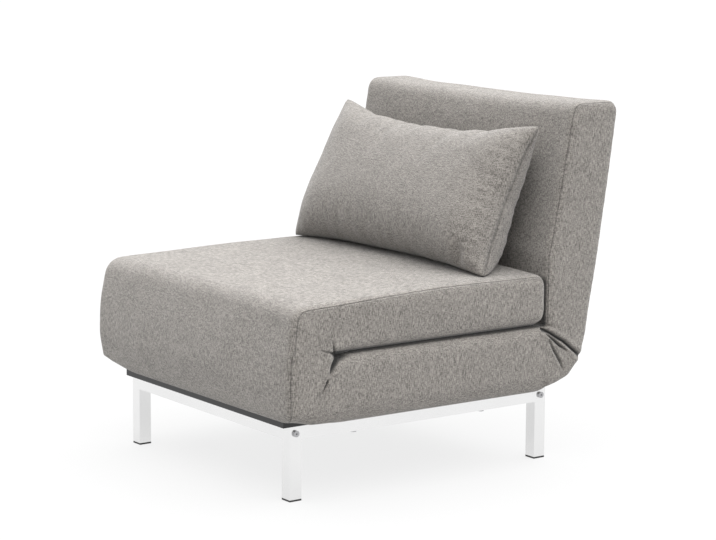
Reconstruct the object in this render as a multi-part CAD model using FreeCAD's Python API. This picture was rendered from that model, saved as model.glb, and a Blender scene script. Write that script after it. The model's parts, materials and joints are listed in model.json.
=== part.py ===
import FreeCAD, Part
import math
import os

from FreeCAD import Vector

# A convertible chair bed: a steel base, a fixed lower section, a folding upper
# section, a reclining back and a loose pillow.
# +X is the sitter's left, -Y is the front and +Z is up. The origin is on the floor,
# midway between the front face and the back's rear edge. All sizes are in millimetres.

# Steel base
tube = 30.0
tube_wall = 2.0
base_side_inset = 64.0
base_depth = 698.0
base_mid_y = -49.0
base_height = 162.0
foot_cap_height = 4.0
foot_plug_height = 14.0
foot_plug_gap = 0.2
rail_bolt_radius = 4.0
rail_bolt_head_radius = 7.0
rail_bolt_head_height = 4.5
rail_bolt_hole_gap = 0.5
rail_plug_length = 24.0

# Upholstery in common
half_width = 388.0
side_bulge = 4.0
cover_wall = 1.5
foam_gap = 0.3
soft_gap = 0.6
plan_corner_radius = 12.0
outline_least_radius = 1.0
fold_edge_radius = 9.0
top_edge_radius = 12.0

# Lower section
lower_gap = 10.0
lower_thick = 150.0
lower_front_y = -431.5
lower_rear_y = 209.0
lower_edge_radius = 16.0
fold_face_radius = 4.0
frame_tube = 25.0
frame_tube_wall = 1.5
frame_front_gap = 4.0
frame_rear_gap = 6.0
webbing_width = 50.0
webbing_thick = 1.5
webbing_lap = 18.0
lining_thick = 1.5
lower_strap_rows = 5
lower_strap_columns = 5

# Front fold between the lower and the upper section
fold_inset = 0.5
fold_knuckle_radius = 3.0
fold_pin_radius = 1.9
fold_pin_gap = 0.05
fold_leaf_width = 60.0
fold_leaf_height = 40.0
fold_leaf_thick = 2.0
fold_leaf_setback = 1.6
fold_leaf_lap = 1.0
fold_hinge_inset = 88.0
board_thick = 12.0
board_side_inset = 70.0
front_panel_bulge = 7.0
front_panel_gap = 4.0
front_panel_rise = 40.0

# Upper section
upper_rear_y = 241.4
upper_front_rise = 114.0
upper_rear_rise = 114.0
upper_side_rise = 111.0
upper_crown = 5.0
upper_front_radius = 36.0
upper_rear_radius = 26.0
upper_frame_tube = 20.0
upper_frame_rise = 45.0
upper_frame_side_inset = 70.0
upper_frame_front_gap = 22.0
upper_frame_rear_gap = 40.0

# Reclining back
back_front_y = 242.0
back_bend_rise = 130.0
back_top_front_y = 317.0
back_top_rise = 484.0
back_top_rear_y = 441.0
back_top_rear_rise = 477.0
back_low_rear_y = 364.0
back_top_crown = 9.0
back_side_drop = 5.0
back_face_crown = 5.0
back_front_radius = 28.0
back_rear_radius = 22.0
back_bend_radius = 60.0
back_end_front_radius = 6.0
back_end_rear_radius = 14.0
back_end_gap = 1.0
hinge_boss_radius = 6.0
hinge_pin_radius = 3.0
hinge_pin_gap = 0.05
hinge_plate_thick = 5.0
hinge_plate_gap = 0.5
ratchet_radius = 58.0
ratchet_tooth_depth = 3.0
ratchet_tooth_count = 9
ratchet_first_angle = -70.0
ratchet_sweep = 80.0
pawl_gap = 0.5
pawl_length = 26.0
pawl_width = 14.0
hinge_side_inset = 64.0
back_frame_tube = 20.0
back_frame_depth = 52.0
back_frame_end = 96.0
back_frame_top_gap = 60.0

# Rear gusset, the loose folded fabric and wadding behind the lower section
gusset_gap = 1.5
gusset_low_y = 273.0
gusset_low_rise = 24.0
gusset_mid_y = 312.0
gusset_mid_rise = 36.0
gusset_corner_y = 346.0
gusset_corner_rise = 74.0
gusset_start_rise = 14.0

# Pillow
pillow_side_inset = 34.0
pillow_mid_x = -10.0
pillow_low_y = 96.0
pillow_low_rise = 114.8
pillow_high_y = 248.0
pillow_high_rise = 439.8
pillow_front_bulge = 70.0
pillow_rear_bulge = 93.2
pillow_low_dip = 4.0
pillow_high_dip = 36.0
pillow_edge_thick = 5.0
pillow_cover_wall = 2.5
pillow_sections = 9

# Values worked out from the ones above: widths come from half_width, heights from base_height
base_width = 2 * (half_width - base_side_inset)
lower_bottom = base_height + lower_gap
fold_z = lower_bottom + lower_thick
board_half_width = half_width - board_side_inset
fold_hinge_spread = board_half_width - fold_hinge_inset
fold_hinge_x = (-fold_hinge_spread, 0.0, fold_hinge_spread)
front_panel_low = lower_bottom + front_panel_gap
front_panel_high = fold_z + front_panel_rise
upper_front_top = fold_z + upper_front_rise
upper_rear_top = fold_z + upper_rear_rise
upper_side_top = fold_z + upper_side_rise
upper_frame_z = fold_z + upper_frame_rise
upper_frame_half_width = half_width - upper_frame_side_inset
back_bend_z = fold_z + back_bend_rise
back_top_z = fold_z + back_top_rise
back_top_rear_z = fold_z + back_top_rear_rise
hinge_x = half_width - hinge_side_inset
gusset_low_z = base_height + gusset_low_rise
gusset_mid_z = base_height + gusset_mid_rise
gusset_corner_z = base_height + gusset_corner_rise
gusset_start_z = base_height + gusset_start_rise
pillow_half_width = half_width - pillow_side_inset
pillow_low_z = fold_z + pillow_low_rise
pillow_high_z = fold_z + pillow_high_rise
base_left = -base_width / 2
base_right = base_width / 2
base_front = base_mid_y - base_depth / 2
base_rear = base_mid_y + base_depth / 2
rail_low = base_height - tube
rail_mid_z = base_height - tube / 2
lower_top = fold_z - soft_gap / 2
upper_bottom = fold_z + soft_gap / 2
fold_y = lower_front_y - fold_inset
frame_low = base_height
frame_high = base_height + frame_tube
frame_front = lower_front_y + cover_wall + board_thick + frame_front_gap
frame_rear = lower_rear_y - frame_rear_gap
webbing_top = frame_high + 2 * webbing_thick
back_slope = (back_top_front_y - back_front_y) / (back_top_z - back_bend_z)
back_angle = math.atan(back_slope)
hinge_z = fold_z - hinge_boss_radius - soft_gap
hinge_reach = (hinge_boss_radius + soft_gap) / math.cos(back_angle)
hinge_y = back_front_y - back_slope * (back_bend_z - hinge_z) + hinge_reach
pad_z_low = upper_frame_z
pad_z_high = upper_frame_z + upper_frame_tube


# A block between two corners
def box(x0, x1, y0, y1, z0, z1):
    return Part.makeBox(x1 - x0, y1 - y0, z1 - z0, Vector(x0, y0, z0))


# A round bar along X, and one along Z
def rod_x(x0, x1, y, z, radius):
    return Part.makeCylinder(radius, x1 - x0, Vector(x0, y, z), Vector(1, 0, 0))


def rod_z(z0, z1, x, y, radius):
    return Part.makeCylinder(radius, z1 - z0, Vector(x, y, z0), Vector(0, 0, 1))


# Writes one named piece with all its solids
def save(name, solids):
    shape = solids[0] if len(solids) == 1 else Part.makeCompound(solids)
    shape.exportStep(os.path.join("parts", name + ".step"))


def turn_x(shape, degrees, y, z):
    turned = shape.copy()
    turned.rotate(Vector(0, y, z), Vector(1, 0, 0), degrees)
    return turned


# A square tube, open at both ends
def hollow_tube(x0, x1, y0, y1, z0, z1, wall, along):
    outer = box(x0, x1, y0, y1, z0, z1)
    gaps = [0.0 if axis == along else wall for axis in "xyz"]
    inner = box(x0 + gaps[0], x1 - gaps[0], y0 + gaps[1], y1 - gaps[1], z0 + gaps[2], z1 - gaps[2])
    return outer.cut(inner)


# Outlines: rounded polygons whose sides may bow outwards

# Moves each side of a polygon inwards by a distance
def inset_corners(corners, distance):
    moved = []
    count = len(corners)
    for i in range(count):
        before = corners[i - 1]
        here = corners[i]
        after = corners[(i + 1) % count]
        first = unit(here[0] - before[0], here[1] - before[1])
        second = unit(after[0] - here[0], after[1] - here[1])
        turn = 1.0 + first[0] * second[0] + first[1] * second[1]
        shift_a = (-first[1] - second[1]) * distance / turn
        shift_b = (first[0] + second[0]) * distance / turn
        moved.append((here[0] + shift_a, here[1] + shift_b))
    return moved


def unit(a, b):
    length = math.hypot(a, b)
    return a / length, b / length


# Arcs at the corners, and lines or bows between them
def outline_edges(corners, radii, rises, place):
    starts = []
    ends = []
    middles = []
    count = len(corners)
    for i in range(count):
        before = corners[i - 1]
        here = corners[i]
        after = corners[(i + 1) % count]
        back = unit(before[0] - here[0], before[1] - here[1])
        ahead = unit(after[0] - here[0], after[1] - here[1])
        half = math.acos(back[0] * ahead[0] + back[1] * ahead[1]) / 2
        reach = radii[i] / math.tan(half)
        starts.append((here[0] + back[0] * reach, here[1] + back[1] * reach))
        ends.append((here[0] + ahead[0] * reach, here[1] + ahead[1] * reach))
        inward = unit(back[0] + ahead[0], back[1] + ahead[1])
        depth = radii[i] / math.sin(half) - radii[i]
        middles.append((here[0] + inward[0] * depth, here[1] + inward[1] * depth))
    edges = []
    for i in range(count):
        edges.append(Part.Arc(place(*starts[i]), place(*middles[i]), place(*ends[i])).toShape())
        a = ends[i]
        b = starts[(i + 1) % count]
        side = unit(b[0] - a[0], b[1] - a[1])
        if rises[i] > 0:
            top = ((a[0] + b[0]) / 2 + side[1] * rises[i], (a[1] + b[1]) / 2 - side[0] * rises[i])
            edges.append(Part.Arc(place(*a), place(*top), place(*b)).toShape())
        else:
            edges.append(Part.LineSegment(place(*a), place(*b)).toShape())
    return edges


def prism(corners, radii, rises, place, sweep, inset):
    inner = inset_corners(corners, inset)
    inner_radii = [max(radius - inset, outline_least_radius) for radius in radii]
    wire = Part.Wire(outline_edges(inner, inner_radii, rises, place))
    return Part.Face(wire).extrude(sweep)


class SoftBlock:
    """A cushion: a side outline, a front outline and a plan outline that bound one solid."""

    def __init__(self, side, side_radii, side_rises, low, high, low_radius, high_radius, crown):
        self.side = side
        self.side_radii = side_radii
        self.side_rises = side_rises
        self.low = low
        self.high = high
        self.front = min(corner[0] for corner in side) - side_bulge
        self.rear = max(corner[0] for corner in side) + side_bulge
        self.edge_radii = [low_radius, low_radius, high_radius, high_radius]
        self.crown = crown

    def solid(self, inset):
        reach = half_width + tube
        side = prism(self.side, self.side_radii, self.side_rises,
                     lambda a, b: Vector(-reach, a, b), Vector(2 * reach, 0, 0), inset)
        flank = half_width - side_bulge
        across = [(-flank, self.low), (flank, self.low), (flank, self.high), (-flank, self.high)]
        front = prism(across, self.edge_radii, [0.0, side_bulge, self.crown, side_bulge],
                      lambda a, b: Vector(a, self.front, b), Vector(0, self.rear - self.front, 0), inset)
        plan_corners = [(-half_width, self.front), (half_width, self.front),
                        (half_width, self.rear), (-half_width, self.rear)]
        plan_radii = [plan_corner_radius + side_bulge for corner in plan_corners]
        plan = prism(plan_corners, plan_radii, [0.0 for corner in plan_corners],
                     lambda a, b: Vector(a, b, self.low - reach),
                     Vector(0, 0, self.high - self.low + 2 * reach), 0.0)
        return side.common(front).common(plan)


# Steel base

def side_frame(side):
    outer_x = base_right if side > 0 else base_left
    x0 = min(outer_x, outer_x - side * tube)
    x1 = x0 + tube
    frame = box(x0, x1, base_front, base_rear, rail_low, base_height)
    hollow = box(x0 + tube_wall, x1 - tube_wall, base_front + tube, base_rear - tube,
                 rail_low + tube_wall, base_height - tube_wall)
    for leg_y in (base_front, base_rear - tube):
        frame = frame.fuse(box(x0, x1, leg_y, leg_y + tube, foot_cap_height, base_height))
        inner = box(x0 + tube_wall, x1 - tube_wall, leg_y + tube_wall, leg_y + tube - tube_wall,
                    foot_cap_height, base_height - tube_wall)
        hollow = hollow.fuse(inner)
        bolt_y = leg_y + tube / 2
        hollow = hollow.fuse(rod_x(x0, x1, bolt_y, rail_mid_z, rail_bolt_radius + rail_bolt_hole_gap))
    frame = frame.removeSplitter()
    frame = frame.cut(hollow)
    for bolt_y in section_bolt_ys():
        frame = frame.cut(rod_z(rail_low, base_height, section_bolt_x(side), bolt_y,
                                rail_bolt_radius + rail_bolt_hole_gap))
    return frame


def section_bolt_x(side):
    return side * (base_width - tube) / 2


def section_bolt_ys():
    span = base_depth / 4
    return base_mid_y - span, base_mid_y + span


def cross_rail(y0):
    return hollow_tube(base_left + tube, base_right - tube, y0, y0 + tube, rail_low, base_height,
                       tube_wall, "x")


def rail_plugs():
    plugs = []
    inner = tube / 2 - tube_wall
    for y in (base_front + tube / 2, base_rear - tube / 2):
        for side in (-1, 1):
            end = side * (base_width / 2 - tube)
            x0 = min(end, end - side * rail_plug_length)
            plug = box(x0, x0 + rail_plug_length, y - inner, y + inner, rail_mid_z - inner,
                       rail_mid_z + inner)
            plugs.append(plug.cut(rod_x(x0, x0 + rail_plug_length, y, rail_mid_z, rail_bolt_radius)))
    return plugs


def rail_bolts():
    bolts = []
    for y in (base_front + tube / 2, base_rear - tube / 2):
        for side in (-1, 1):
            face = side * base_width / 2
            tip = face - side * (tube + rail_plug_length)
            shank = rod_x(min(face, tip), max(face, tip), y, rail_mid_z, rail_bolt_radius)
            head_end = face + side * rail_bolt_head_height
            head = rod_x(min(face, head_end), max(face, head_end), y, rail_mid_z, rail_bolt_head_radius)
            socket_start = face + side * rail_bolt_head_height / 2
            socket = rod_x(min(socket_start, head_end), max(socket_start, head_end), y, rail_mid_z,
                           rail_bolt_radius / 2)
            bolts.append(shank.fuse(head).removeSplitter().cut(socket))
    return bolts


def foot_caps():
    caps = []
    plug = tube / 2 - tube_wall - foot_plug_gap
    for y in (base_front + tube / 2, base_rear - tube / 2):
        for x in (base_left + tube / 2, base_right - tube / 2):
            plate = box(x - tube / 2, x + tube / 2, y - tube / 2, y + tube / 2, 0, foot_cap_height)
            stem = box(x - plug, x + plug, y - plug, y + plug, foot_cap_height,
                       foot_cap_height + foot_plug_height)
            caps.append(plate.fuse(stem).removeSplitter())
    return caps


def section_bolts():
    bolts = []
    nuts = []
    nut_top = frame_high + rail_bolt_head_height
    for side in (-1, 1):
        for y in section_bolt_ys():
            x = section_bolt_x(side)
            head = rod_z(rail_low - rail_bolt_head_height, rail_low, x, y, rail_bolt_head_radius)
            shank = rod_z(rail_low, nut_top, x, y, rail_bolt_radius)
            bolts.append(head.fuse(shank).removeSplitter())
            nut = rod_z(frame_high, nut_top, x, y, rail_bolt_head_radius)
            nuts.append(nut.cut(rod_z(frame_high, nut_top, x, y, rail_bolt_radius)))
    return bolts, nuts


# Lower section

lower_block = SoftBlock(
    [(lower_front_y, lower_bottom), (lower_rear_y, lower_bottom), (lower_rear_y, lower_top),
     (lower_front_y, lower_top)],
    [lower_edge_radius, lower_edge_radius, fold_face_radius, fold_face_radius], [0.0] * 4,
    lower_bottom, lower_top, lower_edge_radius, fold_edge_radius, 0.0)


# A rectangle of welded square tube
def ring_frame(half_x, y0, y1, z0, size, wall):
    outer = box(-half_x, half_x, y0, y1, z0, z0 + size)
    window = box(-half_x + size, half_x - size, y0 + size, y1 - size, z0, z0 + size)
    ring = outer.cut(window)
    core = box(-half_x + wall, half_x - wall, y0 + wall, y1 - wall, z0 + wall, z0 + size - wall)
    post = box(-half_x + size - wall, half_x - size + wall, y0 + size - wall, y1 - size + wall, z0, z0 + size)
    return ring.cut(core.cut(post))


# Webbing straps both ways over a frame, one layer on the other
def strap_net(half_x, y0, y1, z0, size, rows, columns):
    straps = []
    row_step = (y1 - y0 - 2 * size) / rows
    for i in range(rows):
        mid = y0 + size + row_step * (i + 0.5)
        straps.append(box(-half_x + size - webbing_lap, half_x - size + webbing_lap, mid - webbing_width / 2,
                          mid + webbing_width / 2, z0, z0 + webbing_thick))
    column_step = (2 * half_x - 2 * size) / columns
    for i in range(columns):
        mid = -half_x + size + column_step * (i + 0.5)
        straps.append(box(mid - webbing_width / 2, mid + webbing_width / 2, y0 + size - webbing_lap,
                          y1 - size + webbing_lap, z0 + webbing_thick, z0 + 2 * webbing_thick))
    return straps


def lower_frame():
    frame = ring_frame(base_right, frame_front, frame_rear, frame_low, frame_tube, frame_tube_wall)
    for side in (-1, 1):
        for y in section_bolt_ys():
            frame = frame.cut(rod_z(frame_low, frame_high, section_bolt_x(side), y,
                                    rail_bolt_radius + rail_bolt_hole_gap))
    return frame


def lower_webbing():
    straps = strap_net(base_right, frame_front, frame_rear, frame_high, frame_tube, lower_strap_rows,
                       lower_strap_columns)
    room = rail_bolt_head_radius + foam_gap
    holes = [rod_z(frame_high, webbing_top, section_bolt_x(side), y, room)
             for side in (-1, 1) for y in section_bolt_ys()]
    return [strap.cut(Part.makeCompound(holes)) for strap in straps]


def lower_front_board():
    y0 = board_face()
    return box(-board_half_width, board_half_width, y0, y0 + board_thick, frame_high,
               lower_top - cover_wall - foam_gap)


def board_face():
    return lower_front_y + fold_leaf_setback + fold_leaf_thick


def lower_shell():
    outer = lower_block.solid(0.0)
    inner = lower_block.solid(cover_wall)
    return outer.cut(inner).cut(frame_room(frame_high)).cut(fold_slots()).cut(plate_slots())


# Room for the lower frame from the base up
def frame_room(top):
    return box(base_left - foam_gap, base_right + foam_gap, frame_front - foam_gap, frame_rear + foam_gap,
               base_height, top)


def lower_foam():
    foam = lower_block.solid(cover_wall + foam_gap)
    foam = foam.cut(frame_room(webbing_top))
    foam = foam.cut(board_pocket(frame_low, lower_top)).cut(fold_slots()).cut(plate_slots())
    nut_room_top = frame_high + rail_bolt_head_height + foam_gap
    for side in (-1, 1):
        for y in section_bolt_ys():
            foam = foam.cut(rod_z(frame_high, nut_room_top, section_bolt_x(side), y,
                                  rail_bolt_head_radius + foam_gap))
    return foam


# Room in the foam for a front board
def board_pocket(z0, z1):
    y0 = board_face()
    return box(-board_half_width - foam_gap, board_half_width + foam_gap, y0 - foam_gap,
               y0 + board_thick + foam_gap, z0, z1)


# Room for the hinge leaves at the front
def fold_slots():
    reach = fold_leaf_width / 2 + foam_gap
    front = fold_y - front_panel_bulge
    slots = [box(x - reach, x + reach, front, board_face(), fold_z - fold_leaf_height - foam_gap,
                 fold_z + fold_leaf_height + foam_gap) for x in fold_hinge_x]
    return Part.makeCompound(slots)


def lower_lining():
    inset = frame_tube
    return box(base_left + inset, base_right - inset, frame_front + inset, frame_rear - inset,
               frame_low + lining_thick, frame_low + 2 * lining_thick)


# Front fold: leaf hinges screwed to the two front boards, under the front panel

def fold_leaves(side):
    leaves = []
    y0 = board_face() - fold_leaf_thick
    part = fold_leaf_width / 6
    middle = part - foam_gap
    if side < 0:
        knuckles = ((-3 * part, -part), (part, 3 * part))
        rooms = ((-part, part),)
    else:
        knuckles = ((-middle, middle),)
        rooms = ((-3 * part, -middle), (middle, 3 * part))
    for x in fold_hinge_x:
        z_near = fold_z + side * (fold_knuckle_radius - fold_leaf_lap)
        z_far = fold_z + side * fold_leaf_height
        leaf = box(x - fold_leaf_width / 2, x + fold_leaf_width / 2, y0, y0 + fold_leaf_thick,
                   min(z_near, z_far), max(z_near, z_far))
        clearance = fold_knuckle_radius + foam_gap
        for low, high in rooms:
            leaf = leaf.cut(box(x + low, x + high, y0, y0 + fold_leaf_thick,
                                fold_z - clearance, fold_z + clearance))
        web_end = fold_z + side * fold_knuckle_radius
        for low, high in knuckles:
            web = box(x + low, x + high, fold_y, y0 + fold_leaf_thick, min(fold_z, web_end),
                      max(fold_z, web_end))
            leaf = leaf.fuse(web).fuse(rod_x(x + low, x + high, fold_y, fold_z, fold_knuckle_radius))
        leaf = leaf.removeSplitter()
        leaves.append(leaf.cut(rod_x(x - fold_leaf_width, x + fold_leaf_width, fold_y, fold_z,
                                     fold_pin_radius + fold_pin_gap)))
    return leaves


def fold_pins():
    return [rod_x(x - fold_leaf_width / 2, x + fold_leaf_width / 2, fold_y, fold_z, fold_pin_radius)
            for x in fold_hinge_x]


def front_panel():
    mid_z = (front_panel_low + front_panel_high) / 2
    face_y = fold_y - foam_gap
    reach = half_width - side_bulge
    low = Vector(-reach, face_y, front_panel_low)
    high = Vector(-reach, face_y, front_panel_high)
    chord = Part.LineSegment(high, low)
    bow = Part.Arc(low, Vector(-reach, face_y - front_panel_bulge, mid_z), high)
    panel = Part.Face(Part.Wire([chord.toShape(), bow.toShape()])).extrude(Vector(2 * reach, 0, 0))
    span = fold_leaf_width / 2 + foam_gap
    room = fold_knuckle_radius + foam_gap
    for x in fold_hinge_x:
        panel = panel.cut(box(x - span, x + span, fold_y - room, fold_y, fold_z - room, fold_z + room))
    return panel


# Upper section

upper_block = SoftBlock(
    [(lower_front_y, upper_bottom), (upper_rear_y, upper_bottom), (upper_rear_y, upper_rear_top),
     (lower_front_y, upper_front_top)],
    [fold_face_radius, upper_rear_radius, upper_rear_radius, upper_front_radius],
    [0.0, 0.0, upper_crown, 0.0], upper_bottom, upper_side_top, fold_edge_radius, top_edge_radius,
    upper_rear_top + upper_crown - upper_side_top)
upper_frame_front = lower_front_y + upper_frame_front_gap
upper_frame_rear = upper_rear_y - upper_frame_rear_gap
upper_web_z = pad_z_high
upper_pad_z = upper_web_z + 2 * webbing_thick


def upper_frame():
    return ring_frame(upper_frame_half_width, upper_frame_front, upper_frame_rear, upper_frame_z,
                      upper_frame_tube, frame_tube_wall)


def upper_front_board():
    y0 = board_face()
    return box(-board_half_width, board_half_width, y0, y0 + board_thick,
               upper_bottom + cover_wall + foam_gap, upper_front_top - upper_front_radius)


def upper_shell():
    return upper_block.solid(0.0).cut(upper_block.solid(cover_wall)).cut(fold_slots())


def upper_core():
    core = upper_block.solid(cover_wall + foam_gap)
    core = core.cut(board_pocket(lower_top, upper_front_top - upper_front_radius + foam_gap))
    return core.cut(fold_slots())


def upper_pads():
    core = upper_core()
    reach = half_width + tube
    front = lower_front_y - reach
    rear = upper_rear_y + reach
    bed = core.common(box(-reach, reach, front, rear, upper_bottom, pad_z_low))
    seat = core.common(box(-reach, reach, front, rear, upper_pad_z, upper_rear_top + reach))
    edge = core.common(box(-reach, reach, front, rear, pad_z_low, upper_pad_z))
    edge = edge.cut(box(-upper_frame_half_width - foam_gap, upper_frame_half_width + foam_gap,
                        upper_frame_front - foam_gap, upper_frame_rear + foam_gap, pad_z_low, upper_pad_z))
    return bed, seat, edge


# Reclining back

def along_end(y):
    return hinge_z - back_slope * (y - hinge_y)


back_low_front_z = along_end(back_front_y) + back_end_gap
back_low_rear_z = along_end(back_low_rear_y) + back_end_gap
back_block = SoftBlock(
    [(back_front_y, back_low_front_z), (back_low_rear_y, back_low_rear_z), (back_top_rear_y, back_top_rear_z),
     (back_top_front_y, back_top_z), (back_front_y, back_bend_z)],
    [back_end_front_radius, back_end_rear_radius, back_rear_radius, back_front_radius, back_bend_radius],
    [0.0, back_face_crown, back_top_crown, back_face_crown, 0.0],
    back_low_rear_z - tube, back_top_z - back_side_drop, top_edge_radius, top_edge_radius,
    back_top_crown + back_side_drop)


def to_back(shape):
    """Turns a shape drawn upright, with its front on the plane Y = hinge_y, to the back's recline."""
    return turn_x(shape, -math.degrees(back_angle), hinge_y, hinge_z)


frame_back_low = hinge_z + back_frame_end
frame_back_high = hinge_z + (back_top_z - hinge_z) / math.cos(back_angle) - back_frame_top_gap
frame_back_front = hinge_y + back_frame_depth


def back_frame():
    outer = box(-hinge_x, hinge_x, frame_back_front, frame_back_front + back_frame_tube, frame_back_low,
                frame_back_high)
    size = back_frame_tube
    window = box(-hinge_x + size, hinge_x - size, frame_back_front, frame_back_front + size,
                 frame_back_low + size, frame_back_high - size)
    ring = outer.cut(window)
    wall = frame_tube_wall
    core = box(-hinge_x + wall, hinge_x - wall, frame_back_front + wall, frame_back_front + size - wall,
               frame_back_low + wall, frame_back_high - wall)
    post = box(-hinge_x + size - wall, hinge_x - size + wall, frame_back_front, frame_back_front + size,
               frame_back_low + size - wall, frame_back_high - size + wall)
    return to_back(ring.cut(core.cut(post)))


def back_straps():
    straps = []
    size = back_frame_tube
    count = lower_strap_rows
    step = (frame_back_high - frame_back_low - 2 * size) / count
    y1 = frame_back_front
    for i in range(count):
        mid = frame_back_low + size + step * (i + 0.5)
        strap = box(-hinge_x + size - webbing_lap, hinge_x - size + webbing_lap, y1 - webbing_thick, y1,
                    mid - webbing_width / 2, mid + webbing_width / 2)
        straps.append(to_back(strap))
    return straps


def back_shell():
    return back_block.solid(0.0).cut(back_block.solid(cover_wall)).cut(plate_slots())


def back_pads():
    core = back_block.solid(cover_wall + foam_gap).cut(plate_slots()).cut(pawl_room())
    reach = 2 * half_width
    layer_front = frame_back_front - webbing_thick
    layer_rear = frame_back_front + back_frame_tube
    front_slab = to_back(box(-reach, reach, hinge_y - reach, layer_front, hinge_z - reach, hinge_z + reach))
    rear_slab = to_back(box(-reach, reach, layer_rear, hinge_y + reach, hinge_z - reach, hinge_z + reach))
    mid_slab = to_back(box(-reach, reach, layer_front, layer_rear, hinge_z - reach, hinge_z + reach))
    frame_room = to_back(box(-hinge_x - foam_gap, hinge_x + foam_gap, layer_front, layer_rear,
                             frame_back_low - foam_gap, frame_back_high + foam_gap))
    return core.common(front_slab), core.common(rear_slab), core.common(mid_slab).cut(frame_room)


# Recline hinges: a toothed plate on the lower frame and an arm on the back frame, side by side

def plate_x(side, layer):
    near = hinge_x + layer * (hinge_plate_thick + hinge_plate_gap)
    return (near, near + hinge_plate_thick) if side > 0 else (-near - hinge_plate_thick, -near)


# Room for both hinge plates, in the lower section and in the back
def plate_slots():
    slots = []
    near = hinge_x - foam_gap
    far = hinge_x + 2 * hinge_plate_thick + 2 * hinge_plate_gap + 2 * foam_gap
    reach = ratchet_radius + pawl_length + foam_gap
    for side in (-1, 1):
        x0 = min(side * near, side * far)
        slots.append(rod_x(x0, x0 + far - near, hinge_y, hinge_z, reach))
        slots.append(box(x0, x0 + far - near, hinge_y - reach, hinge_y, lower_bottom + cover_wall, hinge_z))
    return Part.makeCompound(slots)


# Where the seat stands, kept free of hinge parts
def room_above_hinge(x0, x1):
    return box(x0, x1, hinge_y - 2 * ratchet_radius, back_front_y + cover_wall, hinge_z,
               hinge_z + 2 * ratchet_radius)


def toothed_plate(side):
    x0, x1 = plate_x(side, 0)
    sector = rod_x(x0, x1, hinge_y, hinge_z, ratchet_radius)
    boss = rod_x(x0, x1, hinge_y, hinge_z, hinge_boss_radius)
    sector = sector.cut(room_above_hinge(x0, x1)).fuse(boss)
    tail = box(x0, x1, frame_rear - ratchet_radius, frame_rear, lower_bottom + cover_wall + foam_gap,
               hinge_z - ratchet_radius / 2)
    link = box(x0, x1, frame_rear - ratchet_radius, hinge_y, hinge_z - ratchet_radius,
               hinge_z - hinge_boss_radius)
    plate = sector.fuse(tail).fuse(link)
    step = ratchet_sweep / ratchet_tooth_count
    for i in range(ratchet_tooth_count):
        angle = math.radians(ratchet_first_angle + step * i)
        notch_y = hinge_y + ratchet_radius * math.cos(angle)
        notch_z = hinge_z + ratchet_radius * math.sin(angle)
        plate = plate.cut(rod_x(x0, x1, notch_y, notch_z, ratchet_tooth_depth))
    plate = plate.removeSplitter()
    return plate.cut(rod_x(x0, x1, hinge_y, hinge_z, hinge_pin_radius + hinge_pin_gap))


def recline_arm(side):
    x0, x1 = plate_x(side, 1)
    near = hinge_y - hinge_boss_radius
    bar = box(x0, x1, near, frame_back_front + back_frame_tube, hinge_z, hinge_z + hinge_boss_radius * 2)
    bar = bar.common(rod_x(x0, x1, hinge_y, hinge_z, ratchet_radius))
    strip = box(x0, x1, frame_back_front - back_frame_tube, frame_back_front + back_frame_tube, hinge_z,
                frame_back_low + ratchet_radius)
    elbow = box(x0, x1, hinge_y, frame_back_front, hinge_z, hinge_z + back_frame_tube)
    upright = to_back(bar.fuse(strip).fuse(elbow))
    boss = rod_x(x0, x1, hinge_y, hinge_z, hinge_boss_radius)
    arm = upright.cut(room_above_hinge(x0, x1)).fuse(boss)
    neck = to_back(box(x0, x1, hinge_y, frame_back_front, hinge_z - hinge_boss_radius,
                       hinge_z + hinge_boss_radius))
    arm = arm.fuse(neck.cut(room_above_hinge(x0, x1))).removeSplitter()
    bridge_x0 = min(side * hinge_x, x0)
    bridge_x1 = max(side * hinge_x, x1)
    foot = to_back(box(bridge_x0, bridge_x1, frame_back_front, frame_back_front + back_frame_tube,
                       frame_back_low, frame_back_low + ratchet_radius))
    arm = arm.fuse(foot).removeSplitter()
    return arm.cut(rod_x(x0, x1, hinge_y, hinge_z, hinge_pin_radius + hinge_pin_gap))


def recline_pins():
    pins = []
    for side in (-1, 1):
        near = side * hinge_x
        far = side * (hinge_x + 2 * hinge_plate_thick + hinge_plate_gap)
        pins.append(rod_x(min(near, far), max(near, far), hinge_y, hinge_z, hinge_pin_radius))
    return pins


def pawl_shape(x0, x1):
    tip = hinge_y + ratchet_radius
    low = hinge_z + back_end_gap + cover_wall
    return to_back(box(x0, x1, tip + pawl_gap, tip + pawl_length, low, low + pawl_width))


def pawls():
    solids = []
    for side in (-1, 1):
        x0, x1 = plate_x(side, 0)
        solids.append(pawl_shape(x0, x1))
    return solids


def pawl_room():
    rooms = []
    pawl_reach = hinge_y + ratchet_radius + pawl_length + foam_gap
    for side in (-1, 1):
        near = hinge_x - foam_gap
        far = hinge_x + 2 * hinge_plate_thick + 2 * hinge_plate_gap + 2 * foam_gap
        x0 = min(side * near, side * far)
        rooms.append(to_back(box(x0, x0 + far - near, hinge_y - foam_gap, pawl_reach,
                                 hinge_z, frame_back_low + ratchet_radius + foam_gap)))
    return Part.makeCompound(rooms)


# Rear gusset

def rear_gusset():
    face = lower_rear_y + gusset_gap
    inner_y = back_front_y
    top = [(face, hinge_z - hinge_boss_radius - gusset_gap), (inner_y, along_end(inner_y) - gusset_gap),
           (back_low_rear_y - gusset_gap, along_end(back_low_rear_y) - gusset_gap)]
    low = [(gusset_corner_y, gusset_corner_z), (gusset_mid_y, gusset_mid_z), (gusset_low_y, gusset_low_z),
           (face, gusset_start_z)]
    reach = half_width - side_bulge
    points = [Vector(-reach, y, z) for y, z in top + low]
    wedge = Part.Face(Part.makePolygon(points + [points[0]])).extrude(Vector(2 * reach, 0, 0))
    return wedge.cut(plate_slots())


# Pillow: lens sections from side to side, with dipped long edges and thin ends

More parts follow.
